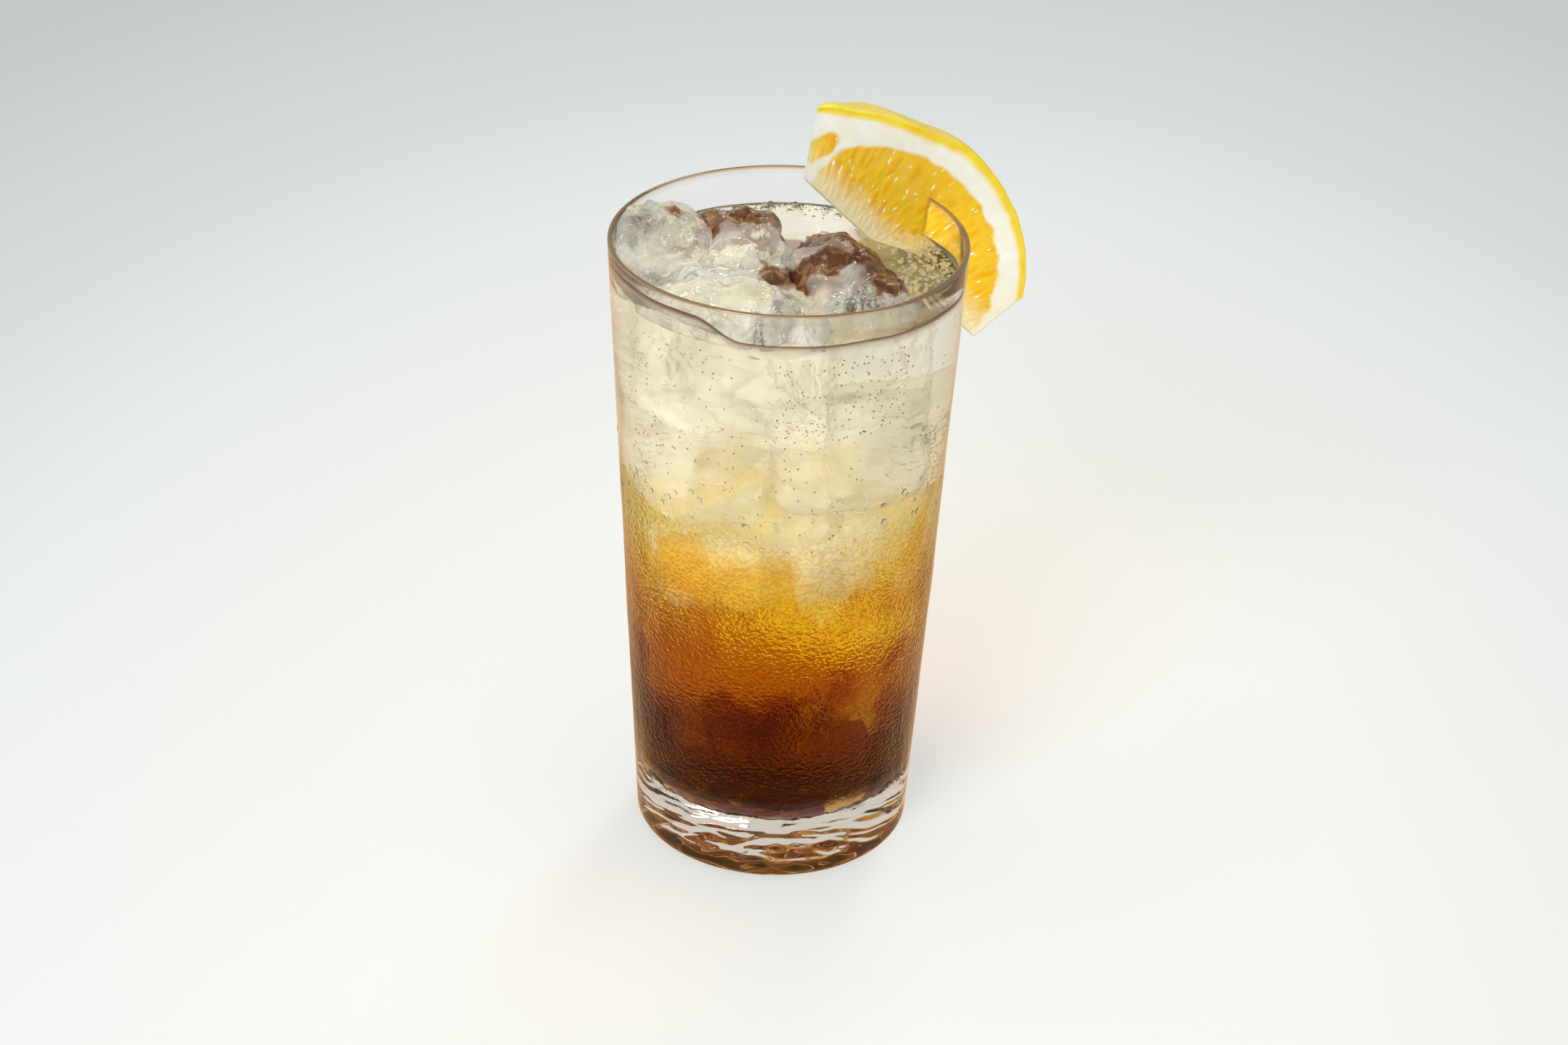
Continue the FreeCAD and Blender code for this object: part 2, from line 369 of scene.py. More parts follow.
def drink(material):
    """The whole drink as one clear liquid, a touch into the wall so that no air shows between."""
    wall = rounded_run([
        (0, BASE_THICKNESS - WETTING, 0),
        (inner_radius(BOWL_TOP) - BOWL_TAPER, BASE_THICKNESS - WETTING, BOWL_ROUND),
        (inner_radius(BOWL_TOP) + WETTING, BOWL_TOP, 0),
        (inner_radius(DRINK_LEVEL) + WETTING, DRINK_LEVEL, 0),
    ], GLASS_STEP)
    edge = inner_radius(DRINK_LEVEL) + WETTING
    insets = [0.0, 0.05, 0.15, 0.3, 0.5, 0.75, 1.05, 1.4, 1.9, 2.6, 3.5, 5.0, 7.0, 9.0]
    insets += [9.0 + 1.5 * k for k in range(1, 18)]
    surface = [Vector((edge - inset * MM, DRINK_LEVEL)) for inset in insets[1:]]
    outline = wall + surface + [Vector((0, DRINK_LEVEL))]
    crest = (len(wall) - 1) / (len(outline) - 1)

    def place(radius, heading, z, share):
        if share > crest:
            inset = edge - radius
            climb = drink_lift(heading) * math.exp(-inset / (MENISCUS_WIDTH / 2))
            lift = climb + surface_swell(heading, radius)
            return on_axis(radius + lift * 0.05, heading, z + lift)
        stretch = smooth(DRINK_LEVEL - 25 * MM, DRINK_LEVEL, z)
        up = drink_lift(heading) * stretch
        grow = inner_radius(z + up) - inner_radius(z)
        push = inner_wave(heading, radius, z)
        bottom = bowl_floor(heading, radius, z)
        return on_axis(radius + grow + push, heading, z + up + bottom)

    bm = turned(outline, GLASS_SEGMENTS, place)
    painted_dark_line = bm.verts.layers.float.new("painted_dark_line")
    side = bm.verts.layers.float.new("side")
    mixing = bm.verts.layers.float.new("mixing")
    for v in bm.verts:
        radius = v.co.xy.length
        heading = math.atan2(v.co.y, v.co.x)
        near = smooth(-0.9 * MM, -0.2 * MM, radius - inner_radius(v.co.z) - WETTING)
        high = smooth(-1.7 * MM, -0.5 * MM, v.co.z - DRINK_LEVEL - drink_lift(heading))
        # Painted shade: a dark line along the drink's edge at the wall, stronger at the front, stands in
        # for the dark coffee that the meniscus bends into view.
        v[painted_dark_line] = near * high * (0.25 + 0.75 * (1 - smooth(-12 * MM, 18 * MM, v.co.y)))
        # on the surface, the painted view of the coffee beside the ice joins the dark line
        if v.co.z > DRINK_LEVEL - 1 * MM:
            v[painted_dark_line] = max(v[painted_dark_line], 0.8 * painted_coffee_view_mask(v.co))
        v[side] = 1.0 if near > 0.5 or v.co.z < BASE_THICKNESS + 4 * MM else 0.0
        v[mixing] = mixing_height(v.co)
    piece = piece_of("cold_brew", bm, material)
    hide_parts("coffee_layer", "amber_layer", "soda_layer")


def leaning_ice(heading, z):
    """How far the colour is held down, or drawn up, where a chunk leans on the wall."""
    held = 0.0
    for toward, height, wide, tall, by in LEANING:
        turn = (heading - math.radians(toward) + math.pi) % TURN - math.pi
        across = turn * RIM_RADIUS / wide
        up = (z - height) / tall
        held += by * (1 - smooth(0.7, 1.0, math.hypot(across, up)))
    return held


def mixing_height(at):
    """The height in an evenly mixed drink that has the colour found at a place in this one."""
    heading = math.atan2(at.y, at.x)
    cells = noise.voronoi(at / (17 * MM) + Vector((0.3, 1.7, 0.4)))[0]
    scallop = 17 * MM * (0.42 - cells[0]) * smooth(20 * MM, 40 * MM, at.z)
    cloud = 8 * MM * noise.noise(at / (13 * MM)) + 3 * MM * noise.noise(at / (5 * MM))
    return at.z - scallop + cloud * smooth(18 * MM, 40 * MM, at.z) + leaning_ice(heading, at.z)


def stains():
    """Coffee settles: each of these bodies of liquid adds its stain below its own top."""
    for number, (top, colour, density) in enumerate(STAINS, 1):
        wall = rounded_run([
            (0, BASE_THICKNESS - WETTING / 2, 0),
            (inner_radius(BOWL_TOP) - BOWL_TAPER, BASE_THICKNESS - WETTING / 2, BOWL_ROUND),
            (inner_radius(top) + WETTING / 2, top, 0),
            (0, top, 0),
        ], 2 * MM)

        def place(radius, heading, z, share):
            low = smooth(top - 12 * MM, top, z)
            at = on_axis(radius, heading, z)
            lift = low * 0.8 * (top - mixing_height(Vector((at.x, at.y, top))))
            grow = inner_radius(z + lift) - inner_radius(z) if radius > 1 * MM else 0
            return on_axis(radius + grow * smooth(0.8, 1.0, radius / inner_radius(z)), heading, z + lift)

        bm = turned(wall, 96, place)
        material, tree = new_material(f"stain_{number}")
        clear = node(tree, "ShaderNodeBsdfTransparent")
        stain = node(tree, "ShaderNodeVolumeAbsorption", color=linear(colour), density=density)
        finish(tree, clear, stain)
        piece_of(f"stain_{number}", bm, material)


def surface_swell(heading, radius):
    """How far the drink's surface swells, and sinks, away from the wall."""
    at = Vector((math.cos(heading) * radius / (7 * MM), math.sin(heading) * radius / (7 * MM), 4.0))
    return 0.12 * MM * noise.noise(at)


def remeshed(source, voxel):
    """A fine even mesh with the shape of a CAD node, as a bmesh."""
    copy = bpy.data.objects.new("melting", source.data.copy())
    bpy.context.scene.collection.objects.link(copy)
    even = copy.modifiers.new("even", "REMESH")
    even.mode = "VOXEL"
    even.voxel_size = voxel
    graph = bpy.context.evaluated_depsgraph_get()
    mesh = bpy.data.meshes.new_from_object(copy.evaluated_get(graph))
    bm = bmesh.new()
    bm.from_mesh(mesh)
    bpy.data.objects.remove(copy)
    bpy.data.meshes.remove(mesh)
    return bm


def melt_dent(at, seed):
    """Depth of the hollows that melting leaves in ice: bowls with crisp ridges between them."""
    wide = noise.voronoi(at / (9 * MM) + Vector((seed, 0, 0)))[0]
    fine = noise.voronoi(at / (3.6 * MM) + Vector((0, seed, 0)))[0]
    bowl = 1.9 * MM * smooth(0.0, 0.8, wide[1] - wide[0])
    dimple = 0.6 * MM * smooth(0.0, 0.6, fine[1] - fine[0])
    flow = 0.5 * MM * noise.noise(Vector((at.x / (5 * MM), at.y / (5 * MM), at.z / (14 * MM) + seed)))
    wandering = abs(noise.noise(Vector((at.x, at.y, at.z * 0.6)) / (6 * MM) + Vector((seed, seed, 0))))
    crest = 0.6 * MM * (1 - smooth(0.0, 0.13, wandering))
    return bowl + dimple + flow - crest


def melted_chunk(name, seed):
    """A chunk of the frame swollen to its neighbours and hollowed by melting, as a bmesh."""
    bm = remeshed(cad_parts[name], ICE_GRID)
    bm.normal_update()
    moved = []
    for v in bm.verts:
        moved.append(v.co + v.normal * (ICE_SWELL - melt_dent(v.co, seed)))
    for v, place in zip(bm.verts, moved):
        room = inner_radius(place.z) - CAP_WALL_GAP
        radius = place.xy.length
        if radius > room:
            place.x *= room / radius
            place.y *= room / radius
        v.co = place
    bmesh.ops.smooth_vert(
        bm, verts=bm.verts, factor=0.15, use_axis_x=True, use_axis_y=True, use_axis_z=True,
    )
    return bm


def cut_level(bm, height, keep_above):
    """Cuts a solid level at a height, keeps one side, and closes it."""
    cut = bmesh.ops.bisect_plane(
        bm, geom=bm.verts[:] + bm.edges[:] + bm.faces[:], dist=1e-7,
        plane_co=(0, 0, height), plane_no=(0, 0, 1),
        clear_inner=keep_above, clear_outer=not keep_above,
    )
    edges = [e for e in cut["geom_cut"] if isinstance(e, bmesh.types.BMEdge)]
    bmesh.ops.holes_fill(bm, edges=edges, sides=0)


def away_from(at, start, end):
    """Distance on the level from a place to a line between two points."""
    run = end - start
    share = min(max((at.xy - start).dot(run) / run.length_squared, 0.0), 1.0)
    return (at.xy - start - run * share).length


def painted_coffee_view_mask(at):
    """1 where the ice bends the eye down to the dark coffee, along the ridge at its far side: the mask of
    the brown painted there in its stead.
    """
    past = min(
        away_from(at, start, end) - reach
        for reach, line in PAINTED_COFFEE_LINES for start, end in zip(line, line[1:])
    )
    ragged = 3.0 * MM * noise.noise(at / (3.5 * MM))
    return 1 - smooth(0, 0.9 * MM, past + ragged)


def sunk_chunk(number, centre, half, turn, seed, material):
    """A rounded chunk of ice under the drink, hollowed by melting, kept inside the wall."""
    bm = bmesh.new()
    bmesh.ops.create_cube(bm, size=2.0)
    bmesh.ops.subdivide_edges(bm, edges=bm.edges[:], cuts=26, use_grid_fill=True)
    place = Matrix.Translation(centre) @ Matrix.Rotation(turn, 4, (0.5, 0.3, 0.8))
    for v in bm.verts:
        round_off = (abs(v.co.x) ** 5 + abs(v.co.y) ** 5 + abs(v.co.z) ** 5) ** (1 / 5)
        at = Vector([c / round_off * h for c, h in zip(v.co, half)])
        at -= at.normalized() * 0.8 * melt_dent(at, seed)
        at = place @ at
        room = inner_radius(at.z) - SUNK_WALL_GAP
        if at.xy.length > room:
            at.x, at.y = at.xy * (room / at.xy.length)
        v.co = at
    piece_of(f"sunk_ice_{number}", bm, material)


def sunk_ices(material):
    """Chunks wholly under the drink, packed against the wall and in the middle."""
    for number, (centre, half, turn) in enumerate(SUNK, 1):
        centre = Vector(centre) * MM
        half = Vector(half) * MM
        sunk_chunk(number, centre, half, math.radians(turn), number * 3.7, material)


def ice(clear, cloudy):
    """The four chunks that stand out of the drink, each parted at its surface."""
    seeds = {"ice_left": 2.0, "ice_peak": 5.0, "ice_front": 9.0, "ice_right": 14.0}
    for name, seed in seeds.items():
        cap = melted_chunk(name, seed)
        sunk = cap.copy()
        cut_level(cap, DRINK_LEVEL - CAP_DIP, True)
        # painted view: marks where brown is painted on the cap for the dark coffee it would show
        painted_coffee_view = cap.verts.layers.float.new("painted_coffee_view")
        for v in cap.verts:
            v[painted_coffee_view] = painted_coffee_view_mask(v.co)
        piece = piece_of(name + "_cap", cap, clear)
        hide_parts(name)
        cut_level(sunk, DRINK_LEVEL - SUNK_GAP, False)
        piece_of(name + "_sunk", sunk, cloudy)


# ---------------------------------------------------------------- lemon

def rind_height(along):
    """The rind's radius: an oval, a little flatter towards the upper end."""
    flat = smooth(0, 14 * MM, -along) * (1 - smooth(27 * MM, 36 * MM, -along))
    oval = LEMON_RADIUS * math.sqrt(max(0.0, 1 - (along / LEMON_HALF_LENGTH) ** 2))
    return oval - RIND_FLAT * flat


def upper_end(out, turn):
    """How far along the core the slanted upper end lies, at a distance out from it."""
    slope = math.tan(UPPER_END_SLANT)
    back = out * math.sin(turn) * slope / math.sin(UPPER_END_RISE)
    front = (out * math.cos(turn) - CORE_TRIM) / math.tan(UPPER_END_RISE)
    return UPPER_END_AT_CORE + back - front


def rind_start(turn):
    """Where the upper end meets the rind, along the core."""
    low, high = -LEMON_HALF_LENGTH, LOWER_END_AT_RIND
    for _ in range(40):
        middle = (low + high) / 2
        if middle < upper_end(rind_height(middle), turn):
            low = middle
        else:
            high = middle
    return low


def wedge_point(s, t, turn):
    """Inside the wedge: s runs from the upper end to the lower one, t from the core to the rind."""
    first = math.acos(rind_start(turn) / LEMON_HALF_LENGTH)
    last = math.acos(LOWER_END_AT_RIND / LEMON_HALF_LENGTH)
    along_rind = LEMON_HALF_LENGTH * math.cos(mix(first, last, s))
    along_core = mix(upper_end(CORE_TRIM, turn), LOWER_END_AT_CORE, s)
    along = mix(along_core, along_rind, t)
    out = mix(CORE_TRIM, rind_height(along_rind), t)
    return Vector((along, out * math.sin(turn), out * math.cos(turn)))


def in_flesh(along, out):
    """Above 0 inside the oval of flesh on a cut face, in metres from its edge, roughly."""
    oval = math.hypot((along - FLESH_MIDDLE) / FLESH_HALF_LENGTH, out / FLESH_HEIGHT)
    segment = min((1 - oval) * FLESH_HEIGHT, along + 23.2 * MM + out * 0.1)
    along -= NEXT_SEGMENT[0] + (out - NEXT_SEGMENT[1]) * 0.25
    next_one = 1 - math.hypot(along / NEXT_SEGMENT[2], (out - NEXT_SEGMENT[1]) / NEXT_SEGMENT[3])
    return max(segment, next_one * NEXT_SEGMENT[2])


def juice_sacs(along, out):
    """(how plump the juice sacs stand, which sac): they fan out from the core to the rind."""
    fan = (along - FLESH_MIDDLE) / (out + 34 * MM) * 40 * MM
    cells = noise.voronoi(Vector((fan / (1.6 * MM), out / (5.0 * MM), 3.3)))
    plump = smooth(0.0, 0.45, cells[0][1] - cells[0][0])
    return plump, noise.cell(cells[1][0] * 7.0)


def lemon(material):
    """Fresh lemon wedge: wet cut flesh of plump juice sacs, dull pith, and waxy pitted zest."""
    bm = bmesh.new()
    rows, columns, turns = 190, 84, 62

    def grid(count_a, count_b, place):
        verts = [[bm.verts.new(place(i / count_a, j / count_b)) for j in range(count_b + 1)]
                 for i in range(count_a + 1)]
        for i in range(count_a):
            for j in range(count_b):
                bm.faces.new([verts[i][j], verts[i + 1][j], verts[i + 1][j + 1], verts[i][j + 1]])

    grid(rows, columns, lambda s, t: wedge_point(s, t, 0.0))
    grid(rows, columns, lambda s, t: wedge_point(s, t, WEDGE_ANGLE))
    grid(rows, turns, lambda s, a: wedge_point(s, 1.0, a * WEDGE_ANGLE))
    grid(rows, turns, lambda s, a: wedge_point(s, 0.0, a * WEDGE_ANGLE))
    grid(columns, turns, lambda t, a: wedge_point(0.0, t, a * WEDGE_ANGLE))
    grid(columns, turns, lambda t, a: wedge_point(1.0, t, a * WEDGE_ANGLE))
    bmesh.ops.remove_doubles(bm, verts=bm.verts, dist=0.02 * MM)
    bmesh.ops.recalc_face_normals(bm, faces=bm.faces)
    bm.normal_update()

    flesh = bm.verts.layers.float.new("flesh")
    zest = bm.verts.layers.float.new("zest")
    sac = bm.verts.layers.float.new("sac")
    shade = bm.verts.layers.float.new("shade")
    core = bm.verts.layers.float.new("core")
    fan = bm.verts.layers.float.new("fan")
    outward = bm.verts.layers.float.new("outward")
    moved = []
    for v in bm.verts:
        along = v.co.x
        out = v.co.yz.length
        turn = math.atan2(v.co.y, v.co.z)
        depth = (rind_height(along) - out) * 0.93
        on_cut = turn < 0.002 or turn > WEDGE_ANGLE - 0.002 or out < CORE_TRIM * 1.2
        ragged = 0.7 * MM * noise.noise(Vector((along / (3 * MM), out / (3 * MM), 1.0)))
        plump, which = juice_sacs(along, out)
        v[flesh] = smooth(-0.3 * MM, 0.7 * MM, in_flesh(along, out) + ragged) if on_cut else 0.0
        v[zest] = 1 - smooth(ZEST_DEPTH * 0.5, ZEST_DEPTH * 1.4, depth + ragged * 0.4)
        v[sac] = plump
        v[shade] = 0.5 + 0.5 * which
        v[core] = 1 - smooth(1.5 * MM, 9.5 * MM, out + 2 * ragged)
        # fan and outward also set the direction of the painted glint streaks
        v[fan] = (along - FLESH_MIDDLE) / (out + 34 * MM) * 40 * MM
        v[outward] = out
        stand = v[flesh] * (0.18 * MM * plump - 0.1 * MM) * smooth(0, 1.5 * MM, out - CORE_TRIM)
        if depth < 0.3 * MM:
            pits = noise.voronoi(v.co / (1.7 * MM))[0][0]
            broad = noise.noise(v.co / (6 * MM))
            stand += 0.16 * MM * smooth(0.1, 0.55, pits) + 0.25 * MM * broad
        moved.append(v.co + v.normal * stand)
    for v, place in zip(bm.verts, moved):
        v.co = place
    bm.transform(LEMON_PLACE)
    piece = piece_of("lemon_wedge_cut", bm, material)
    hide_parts("lemon_wedge")


# ---------------------------------------------------------------- small things in and on the glass

def balls(name, spots, detail, material):
    """One piece of many little balls at (centre, radius, squash, outward) spots."""
    bm = bmesh.new()
    for centre, radius, squash, outward in spots:
        turn = outward.to_track_quat("Z", "Y").to_matrix().to_4x4()
        place = Matrix.Translation(centre) @ turn @ Matrix.Diagonal((radius, radius, radius * squash, 1))
        bmesh.ops.create_icosphere(bm, subdivisions=detail, radius=1.0, matrix=place)
    piece_of(name, bm, material)


def wall_bubbles(material):
    """Fizz held on the inside of the wall, mostly on the right and low on the left."""
    draw = random.Random(7)
    spots = []
    for count, low, high, bottom, top in (
        (210, -95, -45, 112, 131),
        (120, -155, -105, 98, 131),
        (120, -45, 205, 95, 131),
        (60, -110, -60, 84, 118),
    ):
        for _ in range(count):
            heading = math.radians(draw.uniform(low, high))
            z = draw.uniform(bottom, top) * MM
            radius = draw.uniform(0.14, 0.28) * MM
            out = on_axis(1, heading, 0)
            spots.append((out * (inner_radius(z) - radius - 0.25 * MM) + Vector((0, 0, z)), radius, 1, out))
    balls("wall_bubbles", spots, 1, material)


def surface_bubbles(material, foam):
    """Larger bubbles gathered along the back wall and froth beside the lemon."""
    draw = random.Random(11)
    spots = []
    for _ in range(90):
        heading = math.radians(draw.gauss(93, 22))
        inset = abs(draw.gauss(0, 2.6)) * MM
        radius = draw.uniform(0.3, 0.95) * MM
        reach = inner_radius(DRINK_LEVEL) - radius * 0.9 - inset
        spots.append((on_axis(reach, heading, DRINK_LEVEL + radius * 0.35), radius, 0.8, Vector((0, 0, 1))))
    balls("surface_bubbles", spots, 2, material)
    froth = []
    for _ in range(420):
        heading = math.radians(draw.uniform(-28, 42))
        reach = inner_radius(DRINK_LEVEL) - abs(draw.gauss(0, 5.5)) * MM - 0.7 * MM
        radius = draw.uniform(0.28, 0.6) * MM
        froth.append((on_axis(reach, heading, DRINK_LEVEL + radius * 0.4), radius, 0.8, Vector((0, 0, 1))))
    balls("froth", froth, 1, foam)


def dew_drops(material):
    """Drops gathered along the dew line on the outside of the wall."""
    draw = random.Random(3)
    spots = []
    for _ in range(110):
        heading = draw.uniform(0, TURN)
        z = dew_line(heading) + draw.gauss(-2.0, 3.2) * MM
        radius = draw.uniform(0.25, 0.8) * MM
        out = on_axis(1, heading, -0.05).normalized()
        centre = on_axis(outer_radius(z) - 0.05 * MM, heading, z)
        spots.append((centre, radius, 0.22, out))
    balls("dew_drops", spots, 2, material)


# ---------------------------------------------------------------- materials

def node(tree, kind, stops=(), **settings):
    """Adds a node. A setting names one of its inputs (or in_0, in_1 ... by place) or properties;
    an output given as its value is linked. Stops are (position, sRGB hex) marks of a colour ramp."""
    made = tree.nodes.new(kind)
    for _ in stops[2:]:
        made.color_ramp.elements.new(0.5)
    for mark, (position, colour) in zip(made.color_ramp.elements if stops else (), stops):
        mark.position = position
        mark.color = linear(colour)
    for key, value in settings.items():
        socket = None
        if key.startswith("in_"):
            socket = made.inputs[int(key[3:])]
        elif key.replace("_", " ").title().replace("Ior", "IOR") in made.inputs:
            socket = made.inputs[key.replace("_", " ").title().replace("Ior", "IOR")]
        if socket is None:
            setattr(made, key, value)
        elif isinstance(value, bpy.types.NodeSocket):
            tree.links.new(value, socket)
        else:
            socket.default_value = value
    return made


def new_material(name):
    material = bpy.data.materials.new(name)
    material.use_nodes = True
    tree = material.node_tree
    tree.nodes.clear()
    return material, tree


def lets_lamps_through(tree, shader, tint):
    """A clear surface that throws a tinted shadow, not a black one."""
    rays = node(tree, "ShaderNodeLightPath")
    past = node(tree, "ShaderNodeBsdfTransparent", color=tint)
    return node(
        tree, "ShaderNodeMixShader", in_0=rays.outputs["Is Shadow Ray"], in_1=shader.outputs[0],
        in_2=past.outputs[0],
    )


def finish(tree, surface, volume=None):
    output = node(tree, "ShaderNodeOutputMaterial", surface=surface.outputs[0])
    if volume:
        tree.links.new(volume.outputs[0], output.inputs["Volume"])


def soda_lime_glass():
    """Clear soda-lime glass, moulded and fire-polished, fogged outside by fine dew that beads lower
    down: sharp and bright at the lip, soft and grained over the drink. Painted on it: a brown
    reflection of the coffee in its walls, a brown lip for the coffee light piped up the wall, and
    shade on the dew beads."""
    material, tree = new_material("soda_lime_glass")
    place = node(tree, "ShaderNodeTexCoord").outputs["Object"]
    dew = node(tree, "ShaderNodeAttribute", attribute_name="dew").outputs["Fac"]
    beads = node(tree, "ShaderNodeAttribute", attribute_name="beads").outputs["Fac"]
    stretched = node(tree, "ShaderNodeMapping", vector=place, scale=(1, 1, 1.25)).outputs[0]
    dew_grain_and_shade = node(tree, "ShaderNodeTexNoise", vector=stretched, scale=1 / (0.95 * MM), detail=1.0)
    fog = node(tree, "ShaderNodeMath", operation="MULTIPLY", in_0=dew, in_1=0.04).outputs[0]
    grained = node(tree, "ShaderNodeMath", operation="MULTIPLY", in_0=dew_grain_and_shade.outputs[0], in_1=beads)
    bump = node(
        tree, "ShaderNodeBump", strength=1.0, distance=0.27 * MM, height=grained.outputs[0],
    )
    # Painted shade: between the dew beads the glass's colour darkens to tan, standing in for the beads'
    # light and shade; the same grain also bumps the glass.
    painted_bead_shade = node(
        tree, "ShaderNodeValToRGB", fac=dew_grain_and_shade.outputs[0], stops=[(0.4, "ead9ba"), (0.56, "ffffff")],
    ).outputs["Color"]
    bead_shaded_glass = node(
        tree, "ShaderNodeMix", data_type="RGBA", in_0=beads, in_6=linear("ffffff"), in_7=painted_bead_shade,
    ).outputs[2]
    wet = node(tree, "ShaderNodeAttribute", attribute_name="wet").outputs["Fac"]
    height = node(tree, "ShaderNodeSeparateXYZ", vector=place).outputs["Z"]
    share = node(tree, "ShaderNodeMapRange", value=height, in_1=8 * MM, in_2=GLASS_HEIGHT)
    # Painted reflection: the walls' reflections are tinted coffee brown, paler at the foot and lip; the wet
    # inside reflects almost nothing where glass meets drink.
    painted_coffee_reflection = node(tree, "ShaderNodeValToRGB", fac=share.outputs[0], stops=[
        (0.0, "f4efe8"), (0.1, "956c4b"), (0.9, "956c4b"), (0.94, "f0e4d4"), (1.0, "f0e4d4"),
    ]).outputs["Color"]
    still = node(
        tree, "ShaderNodeMix", data_type="RGBA", in_0=wet, in_6=painted_coffee_reflection, in_7=linear("202020"),
    ).outputs[2]
    # Painted light: the lip is painted brown and made less clear, standing in for the coffee light piped up
    # the wall.
    lip = node(tree, "ShaderNodeAttribute", attribute_name="lip").outputs["Fac"]
    with_painted_lip = node(
        tree, "ShaderNodeMix", data_type="RGBA", in_0=lip, in_6=bead_shaded_glass, in_7=linear("b88c50"),
    ).outputs[2]
    through = node(tree, "ShaderNodeMapRange", value=lip, in_3=1.0, in_4=0.6).outputs[0]
    shader = node(
        tree, "ShaderNodeBsdfPrincipled", base_color=with_painted_lip, roughness=fog, ior=1.5,
        transmission_weight=through, specular_tint=still, normal=bump.outputs[0],
    )
    warmth = node(tree, "ShaderNodeVolumeAbsorption", color=linear("e6cfae"), density=11.0)
    finish(tree, lets_lamps_through(tree, shader, linear("f4f4f2")), warmth)
    return material


def cold_brew():
    """Coffee and soda water, clear liquids poured over each other: near black below, amber where
    they mingle, straw above. The colour is in the body of the liquid, and a little at its skin.
    Painted on the skin: a dark line where the meniscus and the ice bend the dark coffee into view,
    and the dew beads' light and shade as a fine grain."""
    material, tree = new_material("cold_brew")
    mixing = node(tree, "ShaderNodeAttribute", attribute_name="mixing").outputs["Fac"]
    place = node(tree, "ShaderNodeTexCoord").outputs["Object"]
    wide = node(tree, "ShaderNodeMapping", vector=place, scale=(1, 1, 1.25)).outputs[0]
    beads = node(tree, "ShaderNodeTexNoise", vector=wide, scale=1 / (0.95 * MM), detail=1.0)
    # Painted shade: the dew beads' light and shade is painted into the drink's colour as a fine grain.
    dew_grain_and_shade = node(tree, "ShaderNodeMapRange", value=beads.outputs[0], in_1=0.3, in_2=0.7,
                 in_3=-1.2 * MM, in_4=1.2 * MM)
    bend = node(tree, "ShaderNodeTexNoise", vector=place, scale=1 / (7 * MM), detail=1.0)
    bend = node(tree, "ShaderNodeVectorMath", operation="SCALE", in_0=bend.outputs["Color"], scale=9 * MM)
    bent = node(tree, "ShaderNodeVectorMath", in_0=place, in_1=bend.outputs[0]).outputs[0]
    clouded = mixing
    for size, reach in ((16 * MM, 8 * MM), (8 * MM, 3.5 * MM)):
        lobes = node(tree, "ShaderNodeTexVoronoi", vector=bent, scale=1 / size)
        pick = node(tree, "ShaderNodeSeparateColor", color=lobes.outputs["Color"]).outputs[0]
        step = node(tree, "ShaderNodeMapRange", value=pick, in_3=-reach, in_4=reach).outputs[0]
        clouded = node(tree, "ShaderNodeMath", in_0=clouded, in_1=step).outputs[0]
    grained = node(tree, "ShaderNodeMath", in_0=clouded, in_1=dew_grain_and_shade.outputs[0])
    share = node(tree, "ShaderNodeMath", operation="DIVIDE", in_0=grained.outputs[0], in_1=DRINK_LEVEL)
    tones = [(z * MM / DRINK_LEVEL, colour) for z, colour in SKIN_TONES]
    skin = node(tree, "ShaderNodeValToRGB", fac=share.outputs[0], stops=tones).outputs["Color"]
    # Painted shade: the dark line is mixed into the skin in brown, and made less clear there.
    painted_dark_line = node(tree, "ShaderNodeAttribute", attribute_name="painted_dark_line").outputs["Fac"]
    side = node(tree, "ShaderNodeAttribute", attribute_name="side").outputs["Fac"]
    still = node(
        tree, "ShaderNodeValToRGB", fac=side, stops=[(0.0, "ffffff"), (1.0, "202020")],
    ).outputs["Color"]
    skin_with_painted_line = node(
        tree, "ShaderNodeMix", data_type="RGBA", in_0=painted_dark_line, in_6=skin, in_7=linear("7c4a1e"),
    ).outputs[2]
    through = node(tree, "ShaderNodeMapRange", value=painted_dark_line, in_3=1.0, in_4=0.4).outputs[0]
    shader = node(
        tree, "ShaderNodeBsdfPrincipled", base_color=skin_with_painted_line, roughness=0.0, ior=1.333,
        transmission_weight=through, specular_tint=still,
    )
    stain = node(tree, "ShaderNodeVolumeAbsorption", color=linear("eee2bc"), density=2.0)
    finish(tree, lets_lamps_through(tree, shader, skin_with_painted_line), stain)
    return material


